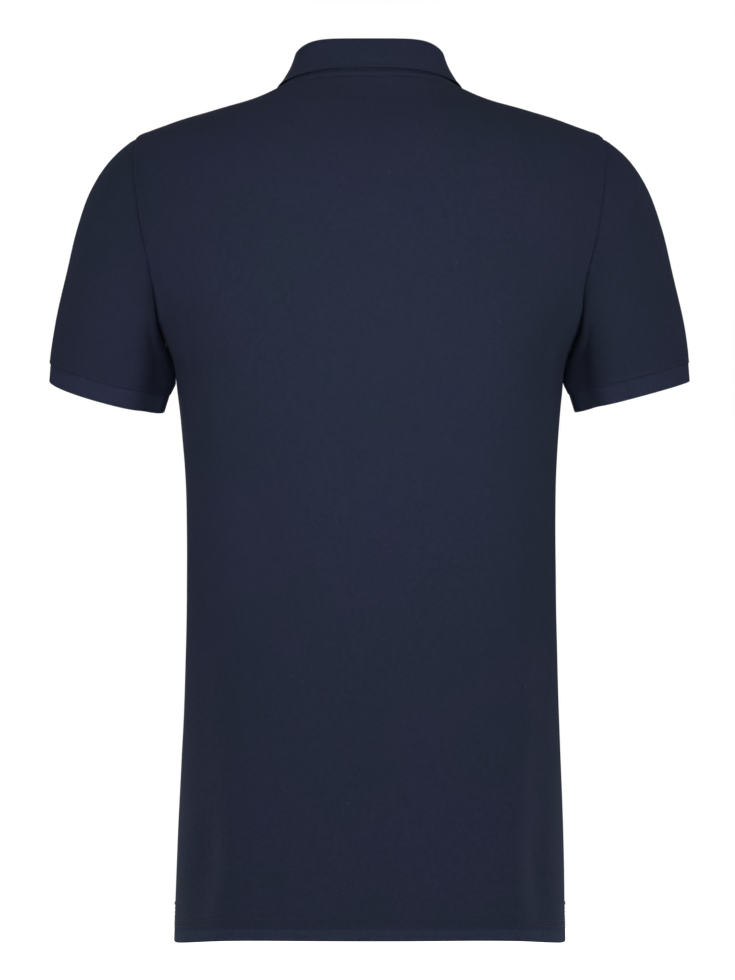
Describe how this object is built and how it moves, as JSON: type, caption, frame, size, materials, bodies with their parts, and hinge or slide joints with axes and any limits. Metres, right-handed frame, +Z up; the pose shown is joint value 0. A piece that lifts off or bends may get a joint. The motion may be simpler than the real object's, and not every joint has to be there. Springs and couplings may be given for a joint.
{
  "type": "polo shirt",
  "caption": "Short-sleeved polo shirt in plain navy pique knit, filled out as if worn, with a fold-over collar, rib cuffs, a buttoned placket and vents at the hem.",
  "frame": {"origin": "midway between the two points where the shoulders meet the neck, where the shirt hangs on its wearer", "axes": "+Z up, -Y the way the wearer faces, +X towards the wearer's left"},
  "size_m": [0.5444, 0.2399, 0.7636],
  "materials": {
    "pique": "matt navy cotton pique knit",
    "rib": "matt navy cotton rib knit",
    "button": "satin navy plastic"
  },
  "bodies": {
    "root": {"back": "pique", "front": "pique", "sleeve_left": "pique", "sleeve_right": "pique", "cuff_left": "rib", "cuff_right": "rib", "collar": "rib", "placket_top": "pique", "placket_under": "pique", "button_1": "button", "button_2": "button", "button_3": "button"}
  },
  "joints": []
}
